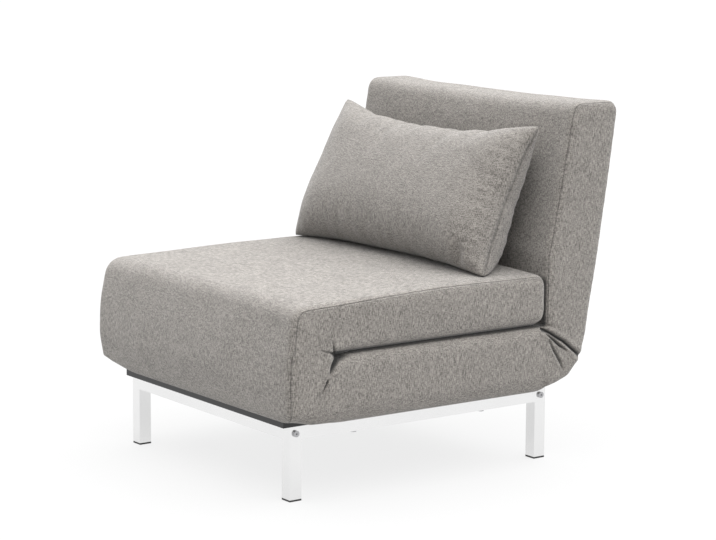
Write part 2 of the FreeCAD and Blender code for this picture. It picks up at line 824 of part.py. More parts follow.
def pillow_solid(shrink):
    along = unit(pillow_high_y - pillow_low_y, pillow_high_z - pillow_low_z)
    facing = (along[1], -along[0])
    length = math.hypot(pillow_high_y - pillow_low_y, pillow_high_z - pillow_low_z)
    wires = []
    for i in range(pillow_sections):
        share = math.sin(math.pi * (i / (pillow_sections - 1) - 0.5))
        fullness = math.sqrt(max(1.0 - share * share, 0.0))
        x = pillow_mid_x + share * (pillow_half_width - shrink)
        low = pillow_low_dip * fullness + shrink
        high = length - pillow_high_dip * fullness - shrink
        front = pillow_edge_thick / 2 + pillow_front_bulge * fullness - shrink * fullness
        rear = pillow_edge_thick / 2 + pillow_rear_bulge * fullness - shrink * fullness
        points = []
        middle = (low + high) / 2
        for reach, out in ((low, 0.0), (middle, -front), (high, 0.0), (middle, rear)):
            points.append(Vector(x, pillow_low_y + along[0] * reach + facing[0] * out,
                                 pillow_low_z + along[1] * reach + facing[1] * out))
        first = Part.Arc(points[0], points[1], points[2]).toShape()
        second = Part.Arc(points[2], points[3], points[0]).toShape()
        wires.append(Part.Wire([first, second]))
    return Part.makeLoft(wires, True, False)


def main():
    os.makedirs("parts", exist_ok=True)
    save("side_frame_left", [side_frame(1)])
    save("side_frame_right", [side_frame(-1)])
    save("front_cross_rail", [cross_rail(base_front)])
    save("rear_cross_rail", [cross_rail(base_rear - tube)])
    save("rail_end_plugs", rail_plugs())
    save("rail_bolts", rail_bolts())
    save("foot_caps", foot_caps())
    bolts, nuts = section_bolts()
    save("section_bolts", bolts)
    save("section_nuts", nuts)

    save("lower_frame", [lower_frame()])
    save("lower_webbing", lower_webbing())
    save("lower_lining", [lower_lining()])
    save("lower_front_board", [lower_front_board()])
    save("lower_foam", [lower_foam()])
    save("lower_cover", [lower_shell()])

    save("upper_frame", [upper_frame()])
    save("upper_webbing", strap_net(upper_frame_half_width, upper_frame_front, upper_frame_rear, upper_web_z,
                                    upper_frame_tube, lower_strap_rows, lower_strap_columns))
    save("upper_front_board", [upper_front_board()])
    bed_pad, seat_pad, edge_pad = upper_pads()
    save("upper_bed_foam", [bed_pad])
    save("upper_seat_foam", [seat_pad])
    save("upper_edge_foam", [edge_pad])
    save("upper_cover", [upper_shell()])

    save("front_fold_leaves_lower", fold_leaves(-1))
    save("front_fold_leaves_upper", fold_leaves(1))
    save("front_fold_pins", fold_pins())
    save("front_panel", [front_panel()])

    save("back_frame", [back_frame()])
    save("back_webbing", back_straps())
    front_pad, rear_pad, side_pad = back_pads()
    save("back_front_foam", [front_pad])
    save("back_rear_foam", [rear_pad])
    save("back_edge_foam", [side_pad])
    save("back_cover", [back_shell()])
    save("ratchet_plate_left", [toothed_plate(1)])
    save("ratchet_plate_right", [toothed_plate(-1)])
    save("recline_arm_left", [recline_arm(1)])
    save("recline_arm_right", [recline_arm(-1)])
    save("recline_pins", recline_pins())
    save("ratchet_pawls", pawls())
    save("rear_gusset", [rear_gusset()])

    outer = pillow_solid(0.0)
    save("pillow_cover", [outer.cut(pillow_solid(pillow_cover_wall))])
    save("pillow_fill", [pillow_solid(pillow_cover_wall + foam_gap)])


main()
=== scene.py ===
import sys
import json
import logging
import math
from dataclasses import dataclass, field
from enum import Enum

import bmesh
import bpy
import numpy as np
from bmesh.types import BMesh, BMVert
from bpy.types import Material, Mesh, Node, NodeSocket, NodeTree, Object
from mathutils import Matrix, Vector
from numpy import ndarray


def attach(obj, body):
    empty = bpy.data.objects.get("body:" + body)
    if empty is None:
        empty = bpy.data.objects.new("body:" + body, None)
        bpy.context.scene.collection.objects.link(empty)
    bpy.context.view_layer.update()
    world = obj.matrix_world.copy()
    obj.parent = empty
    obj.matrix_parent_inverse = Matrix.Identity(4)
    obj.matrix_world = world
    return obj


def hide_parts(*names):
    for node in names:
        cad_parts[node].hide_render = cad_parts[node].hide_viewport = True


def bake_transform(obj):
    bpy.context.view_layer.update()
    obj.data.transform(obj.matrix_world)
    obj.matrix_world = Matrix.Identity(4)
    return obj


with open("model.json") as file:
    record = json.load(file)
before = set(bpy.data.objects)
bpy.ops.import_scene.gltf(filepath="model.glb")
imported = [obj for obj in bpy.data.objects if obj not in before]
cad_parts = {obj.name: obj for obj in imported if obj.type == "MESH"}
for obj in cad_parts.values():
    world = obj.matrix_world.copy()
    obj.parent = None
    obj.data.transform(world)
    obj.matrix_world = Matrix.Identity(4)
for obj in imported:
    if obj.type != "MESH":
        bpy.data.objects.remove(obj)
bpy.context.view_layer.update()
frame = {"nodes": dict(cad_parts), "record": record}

log = logging.getLogger("chair_bed")

# A convertible chair bed: steel base, folded seat, reclining back, rear gusset and loose pillow.
# The upholstery's sizes are in millimetres in the CAD frame, and its meshes are in metres.

MM = 0.001
Colour = tuple[float, float, float]
Pair = tuple[float, float]
Four = tuple[float, float, float, float]


class Body(Enum):
    """The moving bodies of the CAD frame."""

    BASE = "base"
    UPPER = "upper"
    BACK = "back"
    PILLOW = "pillow"


class Region(Enum):
    """The pieces that the upholstery is parted into, as stored on its faces."""

    SEAT = 1
    GUSSET = 2
    BACK = 3


# Numbers

def ease(low: float, high: float, values: ndarray) -> ndarray:
    """A smooth step.

    Args:
        low: where the step is 0.
        high: where the step is 1; it may lie below low.
        values: the numbers to map.
    Returns:
        The step's value for each number.
    """
    share = np.clip((values - low) / (high - low), 0.0, 1.0)
    return share * share * (3.0 - 2.0 * share)


def along_part(y: ndarray, z: ndarray, start: ndarray, end: ndarray) -> tuple[ndarray, ndarray]:
    """Where points lie along one straight part of a line.

    Args:
        y: the points' first coordinate.
        z: the points' second coordinate.
        start: the part's start, whose first two numbers are used.
        end: the part's end, alike.
    Returns:
        The share of the part's length at each point's nearest place, and the distance to it.
    """
    step = (end - start)[:2]
    share = ((y - start[0]) * step[0] + (z - start[1]) * step[1]) / max(step @ step, 1e-12)
    share = np.clip(share, 0.0, 1.0)
    return share, np.hypot(y - start[0] - share * step[0], z - start[1] - share * step[1])


def distance_to_path(y: ndarray, z: ndarray, path: ndarray) -> ndarray:
    """The distance of points to a line of straight parts.

    Args:
        y: the points' first coordinate.
        z: the points' second coordinate.
        path: the line's corners, one per row.
    Returns:
        The shortest distance of each point.
    """
    best = np.full(len(y), 1e9)
    for start, end in zip(path[:-1], path[1:]):
        best = np.minimum(best, along_part(y, z, start, end)[1])
    return best


@dataclass(frozen=True)
class Corner:
    """One rounded corner of an outline in the plane of Y and Z."""

    y: float
    z: float
    radius: float


def rounded_outline(corners: list[Corner], step: float) -> ndarray:
    """The closed outline through rounded corners.

    Args:
        corners: the corners in order.
        step: the length of the arcs' straight parts.
    Returns:
        The outline's points, one per row.
    """
    points: list[ndarray] = []
    for index, corner in enumerate(corners):
        here = np.array([corner.y, corner.z], float)
        before = corners[index - 1]
        after = corners[(index + 1) % len(corners)]
        back = np.array([before.y, before.z], float) - here
        ahead = np.array([after.y, after.z], float) - here
        back /= np.linalg.norm(back)
        ahead /= np.linalg.norm(ahead)
        half = math.acos(float(np.clip(back @ ahead, -1.0, 1.0))) / 2
        reach = corner.radius / math.tan(half)
        centre = here + (back + ahead) / np.linalg.norm(back + ahead) * corner.radius / math.sin(half)
        start = here + back * reach - centre
        end = here + ahead * reach - centre
        count = max(2, int(corner.radius * (math.pi - 2 * half) / step) + 1)
        for part in range(count + 1):
            share = part / count
            spoke = start * (1 - share) + end * share
            points.append(centre + spoke / np.linalg.norm(spoke) * corner.radius)
    return np.array(points)


# Meshes

def new_piece(name: str, form: BMesh) -> Object:
    """Makes a shown object of a mesh, with smooth shading.

    Args:
        name: the piece's name.
        form: the mesh, which is freed.
    Returns:
        The new object.
    """
    mesh = bpy.data.meshes.new(name)
    form.to_mesh(mesh)
    form.free()
    mesh.shade_smooth()
    piece = bpy.data.objects.new(name, mesh)
    bpy.context.scene.collection.objects.link(piece)
    return piece


def finished_mesh(piece: Object) -> Mesh:
    """The mesh of an object as its modifiers leave it, and removes the object.

    Args:
        piece: the object.
    Returns:
        The mesh.
    """
    graph = bpy.context.evaluated_depsgraph_get()
    mesh = bpy.data.meshes.new_from_object(piece.evaluated_get(graph))
    bpy.data.objects.remove(piece)
    return mesh


def voxel_skin(form: BMesh, size: float) -> BMesh:
    """Wraps a closed form in even quads.

    Args:
        form: the form, which is freed.
        size: the quads' size in metres.
    Returns:
        The skin.
    """
    piece = new_piece("form", form)
    wrap = piece.modifiers.new("wrap", "REMESH")
    wrap.mode = "VOXEL"
    wrap.voxel_size = size
    mesh = finished_mesh(piece)
    skin = bmesh.new()
    skin.from_mesh(mesh)
    bpy.data.meshes.remove(mesh)
    return skin


def store(mesh: Mesh, name: str, values: ndarray) -> None:
    """Stores one number per vertex on a mesh under a name that materials read."""
    layer = mesh.attributes.get(name) or mesh.attributes.new(name, "FLOAT", "POINT")
    layer.data.foreach_set("value", values.astype(np.float32))


def positions(mesh: Mesh, kind: str = "co") -> ndarray:
    """The vertices' places or normals, one per row.

    Args:
        mesh: the mesh.
        kind: "co" for the places or "normal" for the normals.
    Returns:
        The vectors.
    """
    values = np.zeros(len(mesh.vertices) * 3)
    mesh.vertices.foreach_get(kind, values)
    return values.reshape(-1, 3)


# Shader graphs

class Graph:
    """Adds nodes to a shader tree and links them."""

    def __init__(self, tree: NodeTree) -> None:
        """Keeps the tree that nodes are added to."""
        self.tree = tree

    def fill(self, node: Node, inputs: dict) -> None:
        """Gives a node its inputs.

        Args:
            node: the node.
            inputs: constants or sockets, by the input's name or number.
        """
        for key, value in inputs.items():
            if isinstance(value, NodeSocket):
                self.tree.links.new(value, node.inputs[key])
            else:
                node.inputs[key].default_value = value

    def add(self, kind: str, inputs: dict | None = None, **settings: object) -> Node:
        """Adds a node.

        Args:
            kind: the node's type name.
            inputs: constants or sockets for its inputs, by name or number.
            settings: the node's own properties.
        Returns:
            The node.
        """
        node = self.tree.nodes.new(kind)
        for key, value in settings.items():
            setattr(node, key, value)
        self.fill(node, inputs or {})
        return node

    def maths(self, operation: str, *values: object, clamp: bool = False) -> NodeSocket:
        """One Math node's result for constants or sockets."""
        node = self.add("ShaderNodeMath", dict(enumerate(values)), operation=operation, use_clamp=clamp)
        return node.outputs[0]

    def stretched(self, vector: NodeSocket, scale: Colour) -> NodeSocket:
        """The vector scaled per axis."""
        node = self.add("ShaderNodeVectorMath", {0: vector, 1: scale}, operation="MULTIPLY")
        return node.outputs[0]

    def noise(self, vector: NodeSocket, scale: float, detail: float) -> NodeSocket:
        """A Noise texture's value."""
        node = self.add("ShaderNodeTexNoise", {"Vector": vector, "Scale": scale, "Detail": detail})
        return node.outputs["Fac"]

    def spread(self, value: NodeSocket, low: float, high: float) -> NodeSocket:
        """The value mapped from a range to 0 to 1, and clamped."""
        node = self.add("ShaderNodeMapRange", {"Value": value, "From Min": low, "From Max": high})
        return node.outputs[0]

    def bell(self, value: NodeSocket, centre: float, width: float) -> NodeSocket:
        """A bell curve of the value about a centre."""
        away = self.maths("DIVIDE", self.maths("SUBTRACT", value, centre), width)
        return self.maths("EXPONENT", self.maths("MULTIPLY", self.maths("MULTIPLY", away, away), -1.0))

    def surface(self, shader: Node, colour: NodeSocket, height: NodeSocket, inputs: dict) -> None:
        """Gives a shader its colour, its relief and its other inputs.

        Args:
            shader: the Principled node.
            colour: its colour.
            height: its relief in metres.
            inputs: its other inputs, by name.
        """
        bump = self.add("ShaderNodeBump", {"Strength": 1.0, "Distance": 1.0, "Height": height})
        self.fill(shader, {"Base Color": colour, "Normal": bump.outputs[0], **inputs})


def new_material(name: str) -> tuple[Material, Graph, Node]:
    """An empty material with a Principled shader.

    Args:
        name: the material's name.
    Returns:
        The material, its graph and its Principled node.
    """
    material = bpy.data.materials.new(name)
    material.use_nodes = True
    material.node_tree.nodes.clear()
    graph = Graph(material.node_tree)
    shader = graph.add("ShaderNodeBsdfPrincipled")
    graph.add("ShaderNodeOutputMaterial", {"Surface": shader.outputs[0]})
    return material, graph, shader


def weave_group() -> NodeTree:
    """The shared woven cloth pattern: yarn colour and thread height from a point and a normal.

    Returns:
        The node group.
    """
    name = "woven_yarns"
    if name in bpy.data.node_groups:
        return bpy.data.node_groups[name]
    tree = bpy.data.node_groups.new(name, "ShaderNodeTree")
    for label, kind in (("Point", "NodeSocketVector"), ("Facing", "NodeSocketVector")):
        tree.interface.new_socket(label, in_out="INPUT", socket_type=kind)
    for label in ("Yarn", "Height"):
        tree.interface.new_socket(label, in_out="OUTPUT", socket_type="NodeSocketFloat")
    graph = Graph(tree)
    entry = graph.add("NodeGroupInput")
    point = entry.outputs["Point"]
    # Yarn streaks along Z, streaks across it, specks and broad clouds, with their weights
    upright = graph.noise(graph.stretched(point, (1.0, 1.0, 0.12)), 960.0, 1.0)
    level = graph.noise(graph.stretched(point, (0.12, 0.12, 1.0)), 960.0, 1.0)
    speck = graph.noise(point, 1100.0, 1.0)
    cloud = graph.noise(point, 26.0, 3.0)
    parts = [(upright, 0.50), (level, 0.30), (speck, 0.14), (cloud, 0.06)]
    total: object = 0.0
    for value, weight in parts:
        total = graph.maths("MULTIPLY_ADD", value, weight, total)
    yarn = graph.spread(total, 0.435, 0.565)
    waves = graph.add("ShaderNodeSeparateXYZ", {0: graph.stretched(point, (3900.0, 3900.0, 3900.0))})
    sines = [graph.maths("SINE", waves.outputs[axis]) for axis in range(3)]
    facing = graph.add("ShaderNodeVectorMath", {0: entry.outputs["Facing"]}, operation="ABSOLUTE")
    shares = graph.add("ShaderNodeSeparateXYZ", {0: facing.outputs[0]})
    threads: object = 0.0
    for axis in range(3):
        crossing = graph.maths("MULTIPLY", sines[(axis + 1) % 3], sines[(axis + 2) % 3])
        threads = graph.maths("MULTIPLY_ADD", crossing, shares.outputs[axis], threads)
    height = graph.maths("MULTIPLY_ADD", threads, 0.35, total)
    graph.add("NodeGroupOutput", {"Yarn": yarn, "Height": height})
    return tree


# Finishes

@dataclass(frozen=True)
class WovenFinish:
    """Melange upholstery cloth, with its seams and folds read from the mesh, and painted shade in the seam
    grooves, the creases and the slits.
    """

    name: str
    dark: Colour = (0.083, 0.075, 0.067)
    light: Colour = (0.266, 0.247, 0.225)
    roughness: float = 0.92
    sheen: float = 0.25
    thread_height: float = 0.00045
    seam_width: float = 1.3
    seam_depth: float = 0.0011
    seam_shade: float = 0.42
    fold_shade: float = 0.92
    ridge_away: float = 3.4
    ridge_width: float = 1.6

    def material(self) -> Material:
        """Builds the cloth.

        Returns:
            The material.
        """
        material, graph, shader = new_material(self.name)
        place = graph.add("ShaderNodeTexCoord")
        inputs = {"Point": place.outputs["Object"], "Facing": place.outputs["Normal"]}
        weave = graph.add("ShaderNodeGroup", inputs, node_tree=weave_group())
        across = graph.add("ShaderNodeAttribute", attribute_name="seam_across").outputs["Fac"]
        fold = graph.add("ShaderNodeAttribute", attribute_name="painted_fold_shade").outputs["Fac"]
        groove = graph.bell(across, 0.0, self.seam_width)
        ridge = graph.bell(graph.maths("ABSOLUTE", across), self.ridge_away, self.ridge_width)
        yarn = graph.add("ShaderNodeMix", {0: weave.outputs["Yarn"], 6: (*self.dark, 1.0),
                                           7: (*self.light, 1.0)}, data_type="RGBA")
        # Painted shade: the yarn colour is darkened in the seam grooves, and in the creases and between the
        # slit lips as the stored fold attribute gives
        shade = graph.maths("MULTIPLY_ADD", groove, -self.seam_shade, 1.0)
        shade = graph.maths("MULTIPLY", shade, graph.maths("MULTIPLY_ADD", fold, -self.fold_shade, 1.0))
        tone = graph.add("ShaderNodeVectorMath", {0: yarn.outputs[2], "Scale": shade}, operation="SCALE")
        height = graph.maths("MULTIPLY", weave.outputs["Height"], self.thread_height)
        height = graph.maths("MULTIPLY_ADD", groove, -self.seam_depth, height)
        height = graph.maths("MULTIPLY_ADD", ridge, self.seam_depth * 0.5, height)
        graph.surface(shader, tone.outputs[0], height, {
            "Roughness": self.roughness, "Sheen Weight": self.sheen, "Sheen Roughness": 0.5})
        return material


@dataclass(frozen=True)
class GrainFinish:
    """A plain surface, metal or not, with fine grain in its shine and relief."""

    name: str
    colour: Colour
    metallic: float
    roughness: float
    grain_scale: float = 900.0
    grain_height: float = 0.00003
    tint: float = 0.04

    def material(self) -> Material:
        """Builds the surface.

        Returns:
            The material.
        """
        material, graph, shader = new_material(self.name)
        point = graph.add("ShaderNodeTexCoord").outputs["Object"]
        grain = graph.noise(point, self.grain_scale, 2.0)
        cloud = graph.noise(point, 9.0, 3.0)
        rough = graph.maths("MULTIPLY_ADD", grain, 0.10, self.roughness - 0.05)
        tone = graph.maths("MULTIPLY_ADD", cloud, 2 * self.tint, 1.0 - self.tint)
        paint = graph.add("ShaderNodeVectorMath", {0: self.colour, "Scale": tone}, operation="SCALE")
        height = graph.maths("MULTIPLY", grain, self.grain_height)
        graph.surface(shader, paint.outputs[0], height, {"Roughness": rough, "Metallic": self.metallic})
        return material


@dataclass(frozen=True)
class BandFinish:
    """Elastic webbing or dust cloth: a ribbed textile."""

    name: str
    dark: Colour
    light: Colour
    pitch: float = 0.004

    def material(self) -> Material:
        """Builds the textile.

        Returns:
            The material.
        """
        material, graph, shader = new_material(self.name)
        point = graph.add("ShaderNodeTexCoord").outputs["Object"]
        turns = 2 * math.pi / self.pitch
        parts = graph.add("ShaderNodeSeparateXYZ", {0: graph.stretched(point, (turns, turns, turns))})
        ribs = graph.maths("MULTIPLY", graph.maths("SINE", parts.outputs[0]),
                           graph.maths("SINE", parts.outputs[1]))
        yarn = graph.spread(graph.maths("MULTIPLY_ADD", ribs, 0.5, graph.noise(point, 500.0, 2.0)), 0.0, 1.0)
        tone = graph.add("ShaderNodeMix", {0: yarn, 6: (*self.dark, 1.0), 7: (*self.light, 1.0)},
                         data_type="RGBA")
        height = graph.maths("MULTIPLY", yarn, 0.0003)
        graph.surface(shader, tone.outputs[2], height, {"Roughness": 0.85})
        return material


# Steel base and the hidden hard parts, which the CAD gives

@dataclass
class Framework:
    """Dresses the CAD nodes that stay in sight or behind the covers."""

    finishes: dict[str, object] = field(default_factory=lambda: {
        "silver_steel": GrainFinish("satin_silver", (0.82, 0.82, 0.82), 1.0, 0.22),
        "black_steel": GrainFinish("black_enamel", (0.012, 0.012, 0.013), 0.0, 0.40),
        "zinc_steel": GrainFinish("zinc", (0.60, 0.61, 0.62), 1.0, 0.38),
        "bolt_steel": GrainFinish("bolt_steel", (0.42, 0.42, 0.43), 1.0, 0.30),
        "black_plastic": GrainFinish("black_plastic", (0.015, 0.015, 0.016), 0.0, 0.50),
        "webbing": BandFinish("webbing", (0.05, 0.05, 0.05), (0.13, 0.13, 0.13)),
        "lining": BandFinish("dust_cloth", (0.012, 0.012, 0.013), (0.035, 0.035, 0.036), 0.003),
        "board": GrainFinish("board", (0.42, 0.29, 0.17), 0.0, 0.75, 260.0, 0.0001, 0.15),
    })

    def dress(self) -> list[Object]:
        """Gives each shown CAD node its material.

        Returns:
            The dressed nodes.
        """
        materials = {slot: finish.material() for slot, finish in self.finishes.items()}
        slots = {part["node"]: part["material_slot"] for part in frame["record"]["subparts"]}
        dressed = []
        for name, node in sorted(frame["nodes"].items()):
            slot = slots.get(name)
            if node.hide_render or slot not in materials:
                continue
            node.data.materials.clear()
            node.data.materials.append(materials[slot])
            dressed.append(node)
        return dressed


# Upholstery

@dataclass(frozen=True)
class Fold:
    """One crease in a side face: places along it with their depth and half width, in millimetres."""

    places: tuple[Four, ...]

    def depth(self, y: ndarray, z: ndarray) -> ndarray:
        """The crease's depth at points of the side face.

        Args:
            y: the points' depth along the chair.
            z: the points' height.
        Returns:
            The depth, with a low ridge at both sides as a negative depth.
        """
        deepest = np.zeros(len(y))
        ridge = np.zeros(len(y))
        for start, end in zip(self.places[:-1], self.places[1:]):
            share, away = along_part(y, z, np.array(start), np.array(end))
            deep = start[2] + share * (end[2] - start[2])
            wide = start[3] + share * (end[3] - start[3])
            deepest = np.maximum(deepest, deep * np.exp(-(away / wide) ** 2))
            ridge = np.maximum(ridge, 0.22 * deep * np.exp(-((away - 2.6 * wide) / (1.3 * wide)) ** 2))
        return deepest - ridge * (deepest < 0.35 * deepest.max())


class Skin:
    """The skin's points while they are moved, in millimetres."""

    is_back: ndarray
    slit_away: ndarray

    def __init__(self, mesh: Mesh) -> None:
        """Reads the points and the normals of the skin.

        Args:
            mesh: the skin before it is draped.
        """
        rest = positions(mesh) / MM
        self.mesh = mesh
        self.normals = positions(mesh, "normal")
        self.x, self.y, self.z = rest.T.copy()
        self.x0, self.y0, self.z0 = rest.T
        self.out = np.abs(self.x0)
        self.side = np.sign(self.x0)

    def write(self) -> None:
        """Puts the moved points on the mesh."""
        moved = np.stack([self.x, self.y, self.z], 1) * MM
        self.mesh.vertices.foreach_set("co", moved.ravel())


@dataclass
class Upholstery:
    """The covered seat, rear gusset and back, made as one skin and parted where the chair moves."""

    half_width: float = 388.0
    voxel: float = 5.5
    side_radius: float = 12.0
    side_bulge: float = 3.5
    fold_z: float = 322.0
    fold_y: float = -432.0
    inner_fold_y: float = -331.0
    slit_half: float = 6.0
    slit_left: float = 1.5
    lip_opening: float = 0.50
    hinge_clear: float = 0.25
    rear_split_y: float = 245.0
    lower_end_y: float = 209.0
    back_line: tuple[Pair, Pair] = ((242.0, 311.5), (364.0, 285.5))
    slit_top_z: float = 445.0
    gusset_lip: Pair = (223.0, 305.0)
    seat_level: float = 436.0
    front_swell: float = 13.0
    tuck_in: float = 7.0
    side_sag: float = 6.0
    front_rise: float = 7.0
    left_rise: float = 14.0
    lip_recess: float = 5.0
    upper_lip_recess: float = 0.8
    lip_shade_start: float = 6.3
    lip_shade_end: Pair = (8.0, 10.0)
    seam_drop: float = 7.0
    back_foot: Pair = (242.0, 452.0)
    back_lean: Pair = (75.0, 354.0)
    rear_foot: Pair = (366.0, 292.0)
    rear_lean: Pair = (75.0, 510.0)
    back_crown: float = 5.0
    top_corner_rise: float = 6.0
    top_dip: float = 1.5
    unevenness: float = 1.1
    wave_turns: tuple[Four, ...] = (
        (21, 9, 14, 0.4), (-13, 24, 8, 1.9), (8, -17, 27, 3.1), (33, 19, -11, 5.0), (-26, 12, 31, 2.2))
    finish: WovenFinish = WovenFinish("melange_cover")
    top_middle: tuple[Pair, ...] = (
        (-445.0, 436.0), (-338.0, 437.5), (-109.0, 438.5), (106.0, 442.0), (242.0, 440.0))
    top_side: tuple[Pair, ...] = (
        (-445.0, 426.0), (-361.0, 430.0), (-234.0, 434.0), (-66.0, 437.0), (56.0, 437.5), (242.0, 435.0))
    folds: tuple[Fold, ...] = (
        Fold(((-322, 320, 5.5, 5.0), (-329, 334, 4.2, 3.2), (-332, 346, 2.4, 2.6), (-339, 358, 0.2, 2.4))),
        Fold(((-322, 320, 5.5, 5.0), (-338, 326, 3.0, 3.0), (-356, 331, 2.4, 2.4), (-370, 333, 0.1, 2.0))),
        Fold(((-290, 315, 4.0, 8.0), (-318, 310, 9.0, 8.0), (-331, 297, 10.0, 6.5), (-341, 280, 3.0, 4.5))),
        Fold(((-343, 275, 0.6, 2.4), (-348, 264, 6.5, 2.6), (-353, 255, 5.5, 2.6), (-360, 244, 1.8, 2.2),
              (-374, 226, 0.2, 2.0))),
        Fold(((238, 309, 8.0, 4.0), (262, 298, 8.5, 3.6), (295, 279, 8.5, 3.4), (322, 258, 8.0, 3.6),
              (344, 241, 7.0, 5.0))),
        Fold(((246, 298, 2.5, 3.0), (262, 288, 5.6, 3.0), (283, 271, 5.8, 3.2), (311, 254, 0.4, 3.0))),
        Fold(((252, 286, 1.5, 3.0), (268, 260, 5.0, 3.2), (286, 233, 4.6, 3.6), (297, 209, 0.3, 3.4))),
    )

    def outline(self) -> ndarray:
        """The closed side outline, with both slits held open for the skin.

        Returns:
            The outline's points, one per row.
        """
        slit_low = self.fold_z - self.slit_half
        slit_high = self.fold_z + self.slit_half
        upper_rear = self.rear_split_y - self.slit_half
        back_front = self.rear_split_y + self.slit_half
        corners = [
            Corner(-438, 180, 15), Corner(-300, 175, 60), Corner(232, 174, 60), Corner(278, 183, 40),
            Corner(316, 197, 30), Corner(349, 235, 6), Corner(367, 292, 60), Corner(403, 499, 200),
            Corner(448, 806, 24), Corner(316, 808, 30), Corner(back_front, 478, 80),
            Corner(back_front, slit_low, 3), Corner(self.inner_fold_y, slit_low, 3),
            Corner(self.inner_fold_y, slit_high, 3), Corner(upper_rear, slit_high, 24),
            Corner(upper_rear, 436, 24), Corner(-428, 436, 34), Corner(-436, 350, 90), Corner(-442, 255, 90),
        ]
        return rounded_outline(corners, 5.0)

    def seam_paths(self) -> list[ndarray]:
        """The outline's parts whose side edges carry a seam.

        Returns:
            The seat's front and top, and the back.
        """
        outline = self.outline()
        seat = [p for p in outline if p[0] < 244 and (p[1] > 400 or p[0] < -415) and p[1] > 200]
        back = [p for p in outline if p[0] > 250 and p[1] > 330 or p[0] > 355 and p[1] > 250]
        return [np.array(seat + [np.array((-439.0, 192.0))]),
                np.array(back + [np.array((self.rear_split_y + self.slit_half, 330.0))])]

    def seat_top(self, x: ndarray, y: ndarray) -> ndarray:
        """The height of the seat's top at places in millimetres."""
        middle, side = (np.interp(y, *zip(*line)) for line in (self.top_middle, self.top_side))
        return middle + (side - middle) * (np.abs(x) / self.half_width) ** 4

    def back_plane(self, z: ndarray) -> ndarray:
        """The depth of the back's uncrowned front at heights in millimetres."""
        forward, rise = self.back_lean
        return self.back_foot[0] + forward * np.maximum(z - self.back_foot[1], 0.0) / rise

    def back_face(self, x: ndarray, z: ndarray) -> ndarray:
        """The depth of the back's front face at places in millimetres."""
        crown = self.back_crown * (1 - (x / self.half_width) ** 2) * ease(455, 540, z) * ease(806, 750, z)
        return self.back_plane(z) - crown

    def solid(self) -> BMesh:
        """The outline drawn out over the width, with rounded side edges.

        Returns:
            The closed form in metres.
        """
        form = bmesh.new()
        reach = self.half_width * MM
        ring = [form.verts.new((-reach, y * MM, z * MM)) for y, z in self.outline()]
        cap = form.faces.new(ring)
        grown = bmesh.ops.extrude_face_region(form, geom=[cap])["geom"]
        far = [part for part in grown if isinstance(part, BMVert)]
        bmesh.ops.translate(form, verts=far, vec=(2 * reach, 0, 0))
        bmesh.ops.recalc_face_normals(form, faces=form.faces)
        rims = [edge for edge in form.edges
                if abs(edge.verts[0].co.x - edge.verts[1].co.x) < 1e-6]
        bmesh.ops.bevel(form, geom=rims, offset=self.side_radius * MM, segments=4, profile=0.5,
                        affect="EDGES", material=-1)
        return form

    def refine(self, skin: BMesh) -> None:
        """Makes the quads finer where the sides are creased.

        Args:
            skin: the skin, changed in place.
        """
        patches = [((-410, 210), (-290, 372)), ((225, 200), (356, 330))]
        for shrink in (0.0, 6.0):
            chosen = set()
            for face in skin.faces:
                centre = face.calc_center_median() / MM
                if abs(centre.x) < 362:
                    continue
                for low, high in patches:
                    in_depth = low[0] + shrink < centre.y < high[0] - shrink
                    in_height = low[1] + shrink < centre.z < high[1] - shrink
                    if in_depth and in_height:
                        chosen.update(face.edges)
            bmesh.ops.subdivide_edges(skin, edges=list(chosen), cuts=1, use_grid_fill=True)

    def part(self, skin: BMesh) -> None:
        """Cuts the skin where its pieces meet and marks each face with its piece.

        Args:
            skin: the skin with its slits still open.
        """
        layer = skin.faces.layers.int.new("region")
        level = self.fold_z * MM
        rear = self.rear_split_y * MM
        end = self.lower_end_y * MM
        near, far = self.back_line
        slope = (far[1] - near[1]) / (far[0] - near[0])
        cuts = [
            (lambda c: c.z < level and c.y < 0.30, Vector((0, end, 0)), Vector((0, 1, 0))),
            (lambda c: c.y > end and (c.y > rear or c.z < level),
             Vector((0, near[0] * MM, near[1] * MM)), Vector((0, -slope, 1)).normalized()),
        ]
        for wanted, place, normal in cuts:
            faces = [face for face in skin.faces if wanted(face.calc_center_median())]
            parts = set(faces)
            for face in faces:
                parts.update(face.edges)
                parts.update(face.verts)
            bmesh.ops.bisect_plane(skin, geom=list(parts), dist=1e-6, plane_co=place, plane_no=normal)
        for face in skin.faces:
            centre = face.calc_center_median()
            line = (near[1] + slope * (centre.y / MM - near[0])) * MM
            if centre.y < end or (centre.z > level and centre.y < rear):
                face[layer] = Region.SEAT.value
            elif centre.z > line:
                face[layer] = Region.BACK.value
            else:
                face[layer] = Region.GUSSET.value

    def sort_points(self, skin: Skin) -> None:
        """Notes which points belong to the back or the gusset's upper lip, and how far the slits are.

        Args:
            skin: the skin, changed in place.
        """
        lip = (skin.y0 > self.gusset_lip[0]) & (skin.z0 < self.fold_z) & (skin.z0 > self.gusset_lip[1])
        skin.is_back = (skin.y0 > self.rear_split_y) | lip
        line = [(self.inner_fold_y, self.fold_z), (self.rear_split_y, self.fold_z),
                (self.rear_split_y, self.slit_top_z)]
        skin.slit_away = distance_to_path(skin.y0, skin.z0, np.array(line))

    def mark_seams(self, skin: Skin) -> None:
        """Stores how far each point lies across the nearest seam.

        Args:
            skin: the skin.
        """
        seam = np.full(len(skin.x0), 1e9)
        for path in self.seam_paths():
            seam = np.minimum(seam, distance_to_path(skin.y0, skin.z0, path))
        on_seat = (skin.z0 > 330) & (skin.y0 < self.rear_split_y)
        drop = 1.0 + self.seam_drop * ease(-60, -350, skin.y0) * on_seat
        store(skin.mesh, "seam_across", self.half_width - skin.out - seam + drop)

